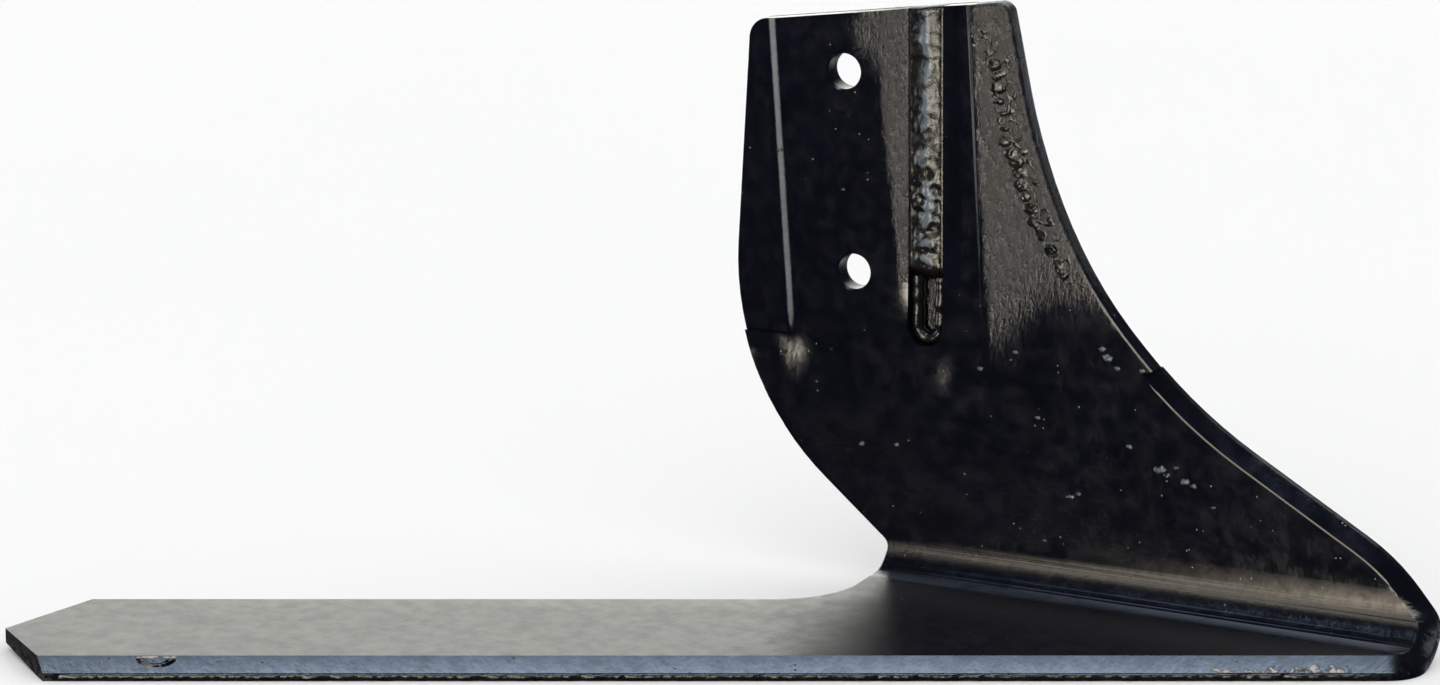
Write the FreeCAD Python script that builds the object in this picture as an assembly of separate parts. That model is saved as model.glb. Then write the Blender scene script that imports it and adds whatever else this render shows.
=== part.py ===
"""One-piece hot-formed digger knife: an upright leg, bent through a smooth curve into a flat blade.

Finished frame, in millimetres: +X is the direction of travel and runs along the bend, +Y points
to the back of the leg and +Z is up. The origin is the centre of the lower bolt hole, on the
bolting face at the back of the pad.

The pieces are drawn in a drafting frame with the same axes, where z = 0 is the underside of the
blade, y = 0 is the outer face of the leg and x = 0 is the neck, where the rear edges of leg and
blade meet. main() moves them from there to the finished frame.
"""
import FreeCAD, Part
import math
import os

Vector = FreeCAD.Vector

# Stock and bend
PLATE = 8.0                    # thickness of the plate
BEND_RADIUS = 12.0             # inside radius between blade and leg
BEVEL = 5.0                    # leg of the ground 45 degree cutting bevel
BEVEL_START = (109.0, 96.5)    # where the bevel on the leading edge begins
BEVEL_START_TILT = 25.0        # degrees that its square end is turned from level
EDGE_ROUND = 1.6               # forged round on the edges of the leg

# Leg, seen from the side: (x, z, corner radius)
NECK_X = 1.0                   # rear end of the bend
TOE_X = 219.0                  # front end of the bend
LEG_TOP_REAR = (-60.8, 211.8, 8.0)
LEG_TOP_FRONT = (45.6, 227.0, 5.0)
LEADING_UPPER = (63.8, 140.5, 185.0)
LEADING_LOWER = (122.6, 80.4, 185.0)
TOE_SHOULDER = (201.2, 35.2, 75.0)
TOE_NOSE = (TOE_X, 14.0, 14.5)
NECK_CORNER = (NECK_X, 15.5, 7.0)
REAR_SWEEP = (-68.9, 71.8, 105.0)

# Blade, seen from above: its length runs back from the toe at an angle to the bend
BLADE_ANGLE = 28.0             # degrees between the bend and the cutting edge
BLADE_WIDTH = 76.0
TOE_RADIUS = 16.0
NECK_RADIUS = 34.0
TIP_REACH = 512.5              # toe to tip, along the cutting edge
TIP_FRONT_CUT = 18.5           # how far the front corner of the tip is cut back
TIP_REAR_CUT = 28.0            # how far the rear corner of the tip is cut back
TIP_TAPER = 16.0               # length over which the underside rises to the tip
TIP_RISE = 2.6                 # how far it rises

# Head of the leg, pressed back in two steps: the bolting pad, and the rear flange beyond it
STEP_DEPTH = 1.6               # how far each step sets the plate back
STEP_WALL = 2.4                # run of the sloping wall at the front of each step
STEP_FADE = 24.0               # run of the slope at the lower end of each step
PAD_TOP_X, PAD_LOW_X = 28.8, 38.0          # front wall of the pad, at the top and at the bottom
FLANGE_TOP_X, FLANGE_LOW_X = -54.0, -43.0  # front wall of the flange
PAD_LOW_Z = 92.0
FLANGE_LOW_Z = 86.0
HEAD_TOP_Z = 232.0             # above the top edge of the leg

# Bolt holes
HOLE_RADIUS = 6.75             # clears a 1/2 in bolt
HOLE_PITCH = 76.2
HOLE_LOW = (-16.0, 119.5)      # centre of the lower hole
HOLE_LEAN = 3.5                # degrees that the row of holes leans back
HOLE_RIM = 0.7                 # chamfer round the mouth of each hole

# Slot for the weld, and the bar that it holds
SLOT_WIDTH = 14.4
SLOT_LEAN = 0.6
SLOT_LOW = (13.8, 101.2)       # centre of the round lower end
SLOT_LENGTH = 140.0
WELD_GAP = 22.0                # length of the slot left open at its lower end
WELD_LUMP_RADIUS = 8.2
WELD_PITCH = 7.4               # from one ripple to the next
WELD_PROUD = 1.1               # height of the ripples above the pad
BAR_WIDTH = 25.0
BAR_THICK = 10.0
BAR_LOW_Z = 84.0
BAR_TOP_Z = 216.0
BAR_CHAMFER = 2.0

# Hard facing
SHIN_BEADS = 15
SHIN_LOW_Z, SHIN_TOP_Z = 132.0, 196.0
SHIN_INSET = 7.0               # from the leading edge to the chain
SHIN_LUMP_RADIUS = 6.0
SHIN_PROUD = 1.2
RUN_RADIUS = 0.9               # bead along the lower front edge of the blade
RUN_STARTS = 7                 # lumps on that bead, where it was started again
PATCH_FROM, PATCH_TO = 25.0, 84.0   # rough overlay on the bevel, measured back from the toe
PATCH_PITCH = 3.0
PATCH_LUMP_RADIUS = 2.5
PATCH_PROUD = 0.7
PATCH_INSET = 2.0              # from the front wall to the middle of the patch

FAR = 400.0                    # larger than the whole part


def rounded_wire(corners, place):
    """Closed wire through (u, v, radius) corners; a radius of 0 keeps the corner sharp."""
    edges = []
    ends = []
    count = len(corners)
    for i in range(count):
        u, v, radius = corners[i]
        here = Vector(u, v, 0)
        before = Vector(corners[i - 1][0], corners[i - 1][1], 0) - here
        after = Vector(corners[(i + 1) % count][0], corners[(i + 1) % count][1], 0) - here
        before.normalize()
        after.normalize()
        half = before.getAngle(after) / 2
        reach = radius / math.tan(half)
        middle = before + after
        middle.normalize()
        on_arc = here + middle * (radius / math.sin(half) - radius)
        ends.append((here + before * reach, on_arc, here + after * reach, radius))
    for i in range(count):
        start, on_arc, end, radius = ends[i]
        if radius > 0:
            edges.append(Part.Arc(place(start), place(on_arc), place(end)).toShape())
        following = ends[(i + 1) % count][0]
        if end.distanceToPoint(following) > 1e-6:
            edges.append(Part.LineSegment(place(end), place(following)).toShape())
    return Part.Wire(edges)


def in_elevation(y):
    """Placer for outlines drawn in X and Z, at depth y."""
    return lambda point: Vector(point.x, y, point.y)


def in_plan(z):
    """Placer for outlines drawn in X and Y, at height z."""
    return lambda point: Vector(point.x, point.y, z)


def prism(wire, direction):
    """Solid made by pushing a flat closed wire along a direction."""
    return Part.Face(wire).extrude(direction)


def along_blade(reach, across):
    """Point from its distance along the cutting edge and its distance behind it."""
    angle = math.radians(BLADE_ANGLE)
    x = reach * math.cos(angle) - across * math.sin(angle)
    y = reach * math.sin(angle) + across * math.cos(angle)
    return x, y


def front_line():
    """Offset of the cutting edge, so that it is tangent to the round of the toe."""
    angle = math.radians(BLADE_ANGLE)
    x = TOE_X - TOE_RADIUS
    return -math.sin(angle) * x - math.cos(angle) * BEND_RADIUS - TOE_RADIUS


def tip_line():
    """Distance of the tip along the cutting edge, counted from the origin."""
    angle = math.radians(BLADE_ANGLE)
    toe = math.cos(angle) * (TOE_X - TOE_RADIUS) - math.sin(angle) * BEND_RADIUS + TOE_RADIUS
    return toe - TIP_REACH


def crossing(x, across):
    """Point at x on the line that runs parallel to the cutting edge at an offset."""
    angle = math.radians(BLADE_ANGLE)
    return x, (across + math.sin(angle) * x) / math.cos(angle)


def leg_outline():
    """Corners of the leg, seen from the side, down to the underside of the bend."""
    below = -10.0
    return [LEG_TOP_REAR, LEG_TOP_FRONT, LEADING_UPPER, LEADING_LOWER, TOE_SHOULDER, TOE_NOSE,
            (TOE_X, below, 0), (NECK_X, below, 0), NECK_CORNER, REAR_SWEEP]


def blade_outline():
    """Corners of the blade, seen from above, from the bend to the tip."""
    front = front_line()
    rear = front + BLADE_WIDTH
    tip = tip_line()
    neck = crossing(NECK_X, rear)
    toe = crossing(TOE_X, front)
    return [(NECK_X, -BEND_RADIUS, 0),
            (neck[0], neck[1], NECK_RADIUS),
            along_blade(tip + TIP_REAR_CUT, rear) + (0,),
            along_blade(tip, (front + rear) / 2) + (0,),
            along_blade(tip + TIP_FRONT_CUT, front) + (0,),
            (toe[0], toe[1], TOE_RADIUS),
            (TOE_X, -BEND_RADIUS, 0)]


def in_section(y, z):
    """Point of the section across the bend, drawn well behind the part."""
    return Vector(-FAR, y, z)


def bent_leg():
    """The leg with the whole bend, cut to its side outline."""
    centre_y = -BEND_RADIUS
    centre_z = PLATE + BEND_RADIUS
    outer = BEND_RADIUS + PLATE
    slant = math.sqrt(0.5)
    section = Part.Wire([
        Part.LineSegment(in_section(0, FAR), in_section(0, centre_z)).toShape(),
        Part.Arc(in_section(0, centre_z),
                 in_section(centre_y + BEND_RADIUS * slant, centre_z - BEND_RADIUS * slant),
                 in_section(centre_y, PLATE)).toShape(),
        Part.LineSegment(in_section(centre_y, PLATE), in_section(centre_y, 0)).toShape(),
        Part.Arc(in_section(centre_y, 0),
                 in_section(centre_y + outer * slant, centre_z - outer * slant),
                 in_section(PLATE, centre_z)).toShape(),
        Part.LineSegment(in_section(PLATE, centre_z), in_section(PLATE, FAR)).toShape(),
        Part.LineSegment(in_section(PLATE, FAR), in_section(0, FAR)).toShape()])
    bent = prism(section, Vector(2 * FAR, 0, 0))
    elevation = rounded_wire(leg_outline(), in_elevation(-2 * BEND_RADIUS))
    return bent.common(prism(elevation, Vector(0, 3 * BEND_RADIUS, 0)))


def above_bevel():
    """Everything above the square end of the bevel on the leading edge."""
    x, z = BEVEL_START
    block = Part.makeBox(2 * FAR, 2 * FAR, FAR, Vector(x - FAR, -FAR, z))
    block.rotate(Vector(x, 0, z), Vector(0, 1, 0), -BEVEL_START_TILT)
    over_bend = PLATE + BEND_RADIUS + EDGE_ROUND
    return block.cut(Part.makeBox(3 * FAR, 3 * FAR, FAR, Vector(-2 * FAR, -2 * FAR, over_bend - FAR)))


def cutting_edge(solid):
    """The long straight edge where the top of the blade meets its front wall."""
    level = [e for e in solid.Edges if all(abs(v.Z - PLATE) < 0.01 for v in e.Vertexes)]
    front = front_line()
    angle = math.radians(BLADE_ANGLE)
    for edge in sorted(level, key=lambda e: -e.Length):
        start = edge.Vertexes[0]
        offset = -math.sin(angle) * start.X + math.cos(angle) * start.Y
        if abs(offset - front) < 0.01:
            return edge


def tip_relief():
    """Wedge under the tip of the blade, where the underside rises to the point."""
    tip = tip_line()
    front = front_line() - BLADE_WIDTH
    corners = [(tip - TIP_TAPER, -2 * PLATE), (tip + TIP_TAPER, -2 * PLATE), (tip + TIP_TAPER, 0),
               (tip - TIP_TAPER, 2 * TIP_RISE)]
    points = []
    for reach, z in corners:
        x, y = along_blade(reach, front)
        points.append(Vector(x, y, z))
    across = along_blade(0, 3 * BLADE_WIDTH)
    section = Part.Wire(Part.makePolygon(points + points[:1]).Edges)
    return prism(section, Vector(across[0], across[1], 0))


def formed_blank():
    """Leg, bend and blade as one plate of constant thickness, before the press work."""
    leg = bent_leg()
    blade = prism(rounded_wire(blade_outline(), in_plan(0)), Vector(0, 0, PLATE))
    return leg.fuse(blade.cut(tip_relief())).removeSplitter()


def face_edges(solid, keep):
    """Edges on the two flat faces of the leg whose end points all pass a test."""
    flat = [e for e in solid.Edges if all(abs(v.Y) < 0.01 for v in e.Vertexes)
            or all(abs(v.Y - PLATE) < 0.01 for v in e.Vertexes)]
    return [e for e in flat if all(keep(v) for v in e.Vertexes)]


def ground_blank():
    """The blank with its ground bevel on the cutting edges, and forged rounds on the others."""
    blank = formed_blank().Solids[0]
    top_edges = face_edges(blank, lambda v: v.Z > LEG_TOP_REAR[1] and v.X < LEG_TOP_FRONT[0])
    upper = blank.makeFillet(EDGE_ROUND, top_edges).common(above_bevel())
    lower = blank.cut(above_bevel()).Solids[0]
    lower = lower.makeChamfer(BEVEL, [cutting_edge(lower)])
    bend_top = PLATE + BEND_RADIUS
    rear_edges = face_edges(lower, lambda v: v.X < NECK_X and v.Z > bend_top - 0.01)
    lower = lower.makeFillet(EDGE_ROUND, rear_edges)
    return lower.fuse(upper).removeSplitter()


def step_corners(top_x, low_x, low_z, grow):
    """Corners of a pressed step, which runs from its front wall back past the rear edge."""
    lower = low_z - grow * STEP_FADE / STEP_WALL
    return [(-FAR, HEAD_TOP_Z, 0), (top_x + grow, HEAD_TOP_Z, 0),
            (low_x + grow, lower, 0), (-FAR, lower, 0)]


def step_form(top_x, low_x, low_z, face_y):
    """The space that a step takes behind one face of the leg, with a sloping wall and end."""
    mouth = rounded_wire(step_corners(top_x, low_x, low_z, STEP_WALL), in_elevation(face_y))
    floor = rounded_wire(step_corners(top_x, low_x, low_z, 0), in_elevation(face_y + STEP_DEPTH))
    return Part.makeLoft([mouth, floor], True, True)


def pressed_head(plate):
    """Set the pad back by one step and the rear flange by two, at a constant thickness."""
    side = prism(rounded_wire(leg_outline(), in_elevation(0)), Vector(0, 3 * PLATE, 0))
    steps = [(PAD_TOP_X, PAD_LOW_X, PAD_LOW_Z), (FLANGE_TOP_X, FLANGE_LOW_X, FLANGE_LOW_Z)]
    for i in range(len(steps)):
        raised = step_form(*steps[i], PLATE + i * STEP_DEPTH).common(side)
        plate = plate.fuse(raised)
    for i in range(len(steps)):
        plate = plate.cut(step_form(*steps[i], i * STEP_DEPTH))
    return plate.removeSplitter()


def bolt_hole(x, z):
    """Drill for one bolt hole, with the chamfer round its mouth in the outer face."""
    back = Vector(0, 1, 0)
    drill = Part.makeCylinder(HOLE_RADIUS, 4 * PLATE, Vector(x, -PLATE, z), back)
    rim = Part.makeCone(HOLE_RADIUS + HOLE_RIM, HOLE_RADIUS, HOLE_RIM, Vector(x, STEP_DEPTH, z), back)
    return drill.fuse(rim)


def bolt_holes():
    """Drills for the row of two bolt holes."""
    lean = math.radians(HOLE_LEAN)
    x, z = HOLE_LOW
    upper = bolt_hole(x - HOLE_PITCH * math.sin(lean), z + HOLE_PITCH * math.cos(lean))
    return bolt_hole(x, z).fuse(upper)


def slot_form(low_y, high_y, gap=0.0):
    """The weld slot between two depths; gap leaves its lower end out."""
    x, z = SLOT_LOW
    half = SLOT_WIDTH / 2
    start = gap - half if gap else 0.0
    block = Part.makeBox(SLOT_WIDTH, high_y - low_y, SLOT_LENGTH, Vector(x - half, low_y, z + start))
    if not gap:
        block = block.fuse(Part.makeCylinder(half, high_y - low_y, Vector(x, low_y, z), Vector(0, 1, 0)))
    block.rotate(Vector(x, 0, z), Vector(0, 1, 0), -SLOT_LEAN)
    return block


def knife_plate():
    """The formed plate with its pad, bolt holes and weld slot."""
    plate = pressed_head(ground_blank())
    return plate.cut(bolt_holes()).cut(slot_form(-PLATE, 4 * PLATE))


def rear_bar():
    """Flat bar on the back of the leg, behind the slot that it is welded through."""
    x, z = SLOT_LOW
    base = PLATE + STEP_DEPTH
    bar = Part.makeBox(BAR_WIDTH, BAR_THICK, BAR_TOP_Z - BAR_LOW_Z,
                       Vector(x - BAR_WIDTH / 2, base, BAR_LOW_Z))
    outer = [e for e in bar.Edges if all(abs(v.Y - base - BAR_THICK) < 0.01 for v in e.Vertexes)]
    bar = bar.makeChamfer(BAR_CHAMFER, outer)
    bar.rotate(Vector(x, 0, z), Vector(0, 1, 0), -SLOT_LEAN)
    return bar


def lump(x, y, z, radius, proud, normal):
    """Ball sunk in a surface so that only a low cap stands proud of it."""
    return Part.makeSphere(radius, Vector(x, y, z) + normal * (proud - radius))


def slot_weld():
    """Weld that fills the slot, with a row of overlapping ripples standing proud of the pad."""
    x, z = SLOT_LOW
    lean = math.tan(math.radians(SLOT_LEAN))
    weld = slot_form(STEP_DEPTH, PLATE + STEP_DEPTH, WELD_GAP)
    first = z + WELD_GAP
    count = int((LEG_TOP_FRONT[1] - first) / WELD_PITCH)
    for i in range(count):
        rise = first - z + i * WELD_PITCH
        centre = x - rise * lean
        weld = weld.fuse(lump(centre, STEP_DEPTH, z + rise, WELD_LUMP_RADIUS, WELD_PROUD, Vector(0, -1, 0)))
    side = prism(rounded_wire(leg_outline(), in_elevation(-PLATE)), Vector(0, 3 * PLATE, 0))
    return weld.common(slot_form(-PLATE, PLATE + STEP_DEPTH)).common(side)


def leading_x(z):
    """Where the outer face ends at the leading edge, at a height on its upper curve."""
    side = Part.Face(rounded_wire(leg_outline(), in_elevation(0)))
    line = Part.LineSegment(Vector(0, 0, z), Vector(FAR, 0, z)).toShape()
    return max(v.X for v in side.common(line).Vertexes)


def half_space_outside():
    """Everything on the open side of the outer face of the leg."""
    return Part.makeBox(2 * FAR, PLATE, 2 * FAR, Vector(-FAR, -PLATE, -FAR))


def shin_hardfacing(plate):
    """Chain of hard weld lumps on the outer face, beside the upper leading edge."""
    chain = []
    for i in range(SHIN_BEADS):
        z = SHIN_LOW_Z + (SHIN_TOP_Z - SHIN_LOW_Z) * i / (SHIN_BEADS - 1)
        x = leading_x(z) - SHIN_INSET
        chain.append(lump(x, 0, z, SHIN_LUMP_RADIUS, SHIN_PROUD, Vector(0, -1, 0)))
    return chain[0].multiFuse(chain[1:]).cut(plate).common(half_space_outside())


def edge_hardfacing(plate):
    """Hard weld bead on the front wall of the blade, just above its lower edge."""
    front = front_line()
    end = tip_line() + TIP_REACH - TOE_RADIUS
    start = tip_line() + TIP_FRONT_CUT + 4.0
    angle = math.radians(BLADE_ANGLE)
    middle = (PLATE - BEVEL) / 2
    x, y = along_blade(start, front)
    run = Part.makeCylinder(RUN_RADIUS, end - start, Vector(x, y, middle),
                            Vector(math.cos(angle), math.sin(angle), 0))
    restarts = []
    for i in range(RUN_STARTS):
        x, y = along_blade(start + (end - start) * i / (RUN_STARTS - 1), front)
        restarts.append(Part.makeSphere(RUN_RADIUS * 1.08, Vector(x, y, middle)))
    return run.multiFuse(restarts).cut(plate)


def toe_overlay(plate):
    """Rough patch of hard weld on the bevel of the blade, a little behind the toe."""
    across = front_line() + PATCH_INSET
    height = PLATE - BEVEL + PATCH_INSET
    angle = math.radians(BLADE_ANGLE)
    slope = Vector(math.sin(angle), -math.cos(angle), 1).normalize()
    lumps = []
    for i in range(int((PATCH_TO - PATCH_FROM) / PATCH_PITCH)):
        x, y = along_blade(tip_line() + TIP_REACH - PATCH_FROM - i * PATCH_PITCH, across)
        lumps.append(lump(x, y, height, PATCH_LUMP_RADIUS, PATCH_PROUD, slope))
    return lumps[0].multiFuse(lumps[1:]).cut(plate)


def main():
    """Write one STEP file for each piece."""
    os.makedirs("parts", exist_ok=True)
    plate = knife_plate()
    pieces = {
        "knife_plate": plate,
        "rear_bar": rear_bar(),
        "slot_weld": slot_weld(),
        "shin_hardfacing": shin_hardfacing(plate),
        "edge_hardfacing": edge_hardfacing(plate),
        "toe_overlay": toe_overlay(plate),
    }
    datum = Vector(HOLE_LOW[0], PLATE + STEP_DEPTH, HOLE_LOW[1])
    for name, shape in pieces.items():
        shape.translate(-datum)
        box = shape.optimalBoundingBox()
        print(name, shape.isValid(), len(shape.Solids), round(shape.Volume, 1), box)
        shape.exportStep(f"parts/{name}.step")


main()
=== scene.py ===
"""Studio scene of a formed digger knife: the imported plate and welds, dressed and lit."""

import logging
import math
from dataclasses import dataclass, field
from enum import Enum
from typing import Callable

import bmesh
import bpy
from mathutils import Matrix, Vector, noise


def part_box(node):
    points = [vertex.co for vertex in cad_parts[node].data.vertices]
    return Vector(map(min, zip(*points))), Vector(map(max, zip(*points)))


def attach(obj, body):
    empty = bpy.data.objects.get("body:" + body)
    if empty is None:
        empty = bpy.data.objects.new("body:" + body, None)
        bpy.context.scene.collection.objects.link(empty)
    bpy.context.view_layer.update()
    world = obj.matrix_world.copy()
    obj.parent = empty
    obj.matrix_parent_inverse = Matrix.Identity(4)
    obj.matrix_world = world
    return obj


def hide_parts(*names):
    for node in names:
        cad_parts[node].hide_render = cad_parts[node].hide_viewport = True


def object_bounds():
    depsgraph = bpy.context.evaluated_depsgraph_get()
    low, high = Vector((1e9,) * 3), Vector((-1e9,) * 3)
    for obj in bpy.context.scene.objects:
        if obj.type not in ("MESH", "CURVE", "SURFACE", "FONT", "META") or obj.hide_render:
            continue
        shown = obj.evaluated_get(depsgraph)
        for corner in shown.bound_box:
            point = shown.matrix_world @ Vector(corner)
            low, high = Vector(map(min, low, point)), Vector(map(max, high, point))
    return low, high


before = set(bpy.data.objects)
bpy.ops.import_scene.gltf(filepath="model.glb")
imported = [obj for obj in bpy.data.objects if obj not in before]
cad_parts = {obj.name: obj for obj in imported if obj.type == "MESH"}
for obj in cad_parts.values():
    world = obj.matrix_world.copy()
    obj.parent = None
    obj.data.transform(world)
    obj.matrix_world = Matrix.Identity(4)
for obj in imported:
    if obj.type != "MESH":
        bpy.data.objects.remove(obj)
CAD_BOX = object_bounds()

LOG = logging.getLogger("digger_knife")
Triple = tuple[float, float, float]             # a colour, or a place

MM = 0.001
TOE_X = 219.0                                   # toe of the bend, in mm from the neck
PLATE = 8.0                                     # thickness of the plate
BEND_RADIUS = 12.0                              # inside radius of the bend
BLADE_ANGLE = math.radians(28.0)                # cutting edge against the bend
BEVEL = 5.0                                     # leg of the ground bevel
NECK_X = CAD_BOX[1][0] - TOE_X * MM
FACE_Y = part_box("shin_hardfacing")[1][1]        # outer face of the leg
BASE_Z = CAD_BOX[0][2]                          # underside of the blade


class Slot(Enum):
    """Material slots of the record."""

    ENAMEL = "black_enamel"
    WELD = "weld_metal"
    HARD = "hard_weld"


def spot(x: float, z: float, depth: float = 0.0) -> Vector:
    """Place on the leg.

    Args:
        x: Millimetres from the neck, along the direction of travel.
        z: Millimetres above the underside of the blade.
        depth: Millimetres behind the outer face of the leg.

    Returns:
        The point in metres, in the frame of the part.
    """
    return Vector((NECK_X + x * MM, FACE_Y + depth * MM, BASE_Z + z * MM))


def on_leg(point: Vector) -> Triple:
    """The x, z and depth in millimetres of a point, as spot() takes them."""
    return ((point.x - NECK_X) / MM, (point.z - BASE_Z) / MM, (point.y - FACE_Y) / MM)


def along_edge(reach: float, across: float, z: float) -> Vector:
    """Place on the blade.

    Args:
        reach: Millimetres back from the front of the toe, along the cutting edge.
        across: Millimetres behind the front wall of the blade.
        z: Millimetres above the underside.

    Returns:
        The point in metres, in the frame of the part.
    """
    turn_x = TOE_X - 16.0
    front = -math.sin(BLADE_ANGLE) * turn_x - math.cos(BLADE_ANGLE) * BEND_RADIUS - 16.0
    toe = math.cos(BLADE_ANGLE) * turn_x - math.sin(BLADE_ANGLE) * BEND_RADIUS + 16.0
    run, side = toe - reach, front + across
    x = run * math.cos(BLADE_ANGLE) - side * math.sin(BLADE_ANGLE)
    y = run * math.sin(BLADE_ANGLE) + side * math.cos(BLADE_ANGLE)
    return spot(x, z, y)


def soft_step(value: float, low: float, high: float) -> float:
    """Smooth ramp from 0 at low to 1 at high; low may be the larger of the two."""
    t = min(max((value - low) / (high - low), 0.0), 1.0)
    return t * t * (3.0 - 2.0 * t)


def wander(x: float, z: float, scale: float, layer: float = 0.0) -> float:
    """Smooth noise between about -1 and 1 at a spot in millimetres, one cell per scale."""
    return noise.noise(Vector((x / scale, z / scale, layer)))


# ---------------------------------------------------------------- finishes


class Nodes:
    """Builder for the nodes of one material or world."""

    def __init__(self, tree: bpy.types.NodeTree) -> None:
        self.tree = tree
        tree.nodes.clear()

    def add(self, kind: str, **settings: object) -> bpy.types.Node:
        """Add a node and set its properties."""
        node = self.tree.nodes.new("ShaderNode" + kind)
        for name, value in settings.items():
            setattr(node, name, value)
        return node

    def feed(self, socket: bpy.types.NodeSocket, value: object) -> None:
        """Link another node's output into a socket, or set the socket's own value."""
        if isinstance(value, bpy.types.NodeSocket):
            self.tree.links.new(value, socket)
        else:
            socket.default_value = value

    def value(self, name: str) -> bpy.types.NodeSocket:
        """A value that the piece carries at each of its points."""
        return self.add("Attribute", attribute_name=name).outputs["Fac"]

    def noise(self, where: bpy.types.NodeSocket, scale: float, detail: float = 2.0,
              roughness: float = 0.5) -> bpy.types.NodeSocket:
        """Fractal noise, with its scale in cells per metre."""
        node = self.add("TexNoise")
        self.feed(node.inputs["Vector"], where)
        node.inputs["Scale"].default_value = scale
        node.inputs["Detail"].default_value = detail
        node.inputs["Roughness"].default_value = roughness
        return node.outputs["Fac"]

    def remap(self, value: object, low: float, high: float, to_low: float = 0.0,
              to_high: float = 1.0) -> bpy.types.NodeSocket:
        """Smooth change of range, held at its ends."""
        node = self.add("MapRange", interpolation_type="SMOOTHSTEP")
        self.feed(node.inputs["Value"], value)
        for name, number in (("From Min", low), ("From Max", high),
                             ("To Min", to_low), ("To Max", to_high)):
            node.inputs[name].default_value = number
        return node.outputs["Result"]

    def maths(self, operation: str, first: object, second: object) -> bpy.types.NodeSocket:
        """One sum of two values."""
        node = self.add("Math", operation=operation)
        self.feed(node.inputs[0], first)
        self.feed(node.inputs[1], second)
        return node.outputs[0]

    def mix(self, factor: object, first: object, second: object) -> bpy.types.NodeSocket:
        """Mix of two colours."""
        node = self.add("Mix", data_type="RGBA")
        self.feed(node.inputs[0], factor)
        self.feed(node.inputs[6], first)
        self.feed(node.inputs[7], second)
        return node.outputs[2]

    def bump(self, height: object, distance: float, normal: object = None) -> bpy.types.NodeSocket:
        """Bump whose full height is a distance in metres, laid over another bump."""
        node = self.add("Bump")
        self.feed(node.inputs["Height"], height)
        node.inputs["Distance"].default_value = distance
        if normal is not None:
            self.feed(node.inputs["Normal"], normal)
        return node.outputs["Normal"]


def grey(value: float, warmth: float = 0.0) -> tuple[float, float, float, float]:
    """Grey with red raised and blue lowered by a share of it."""
    return (value * (1.0 + warmth), value, value * (1.0 - warmth), 1.0)


def opaque(colour: Triple, share: float = 1.0) -> tuple[float, float, float, float]:
    """Colour with its strength scaled, and nothing seen through it."""
    return tuple(part * share for part in colour) + (1.0,)


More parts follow.
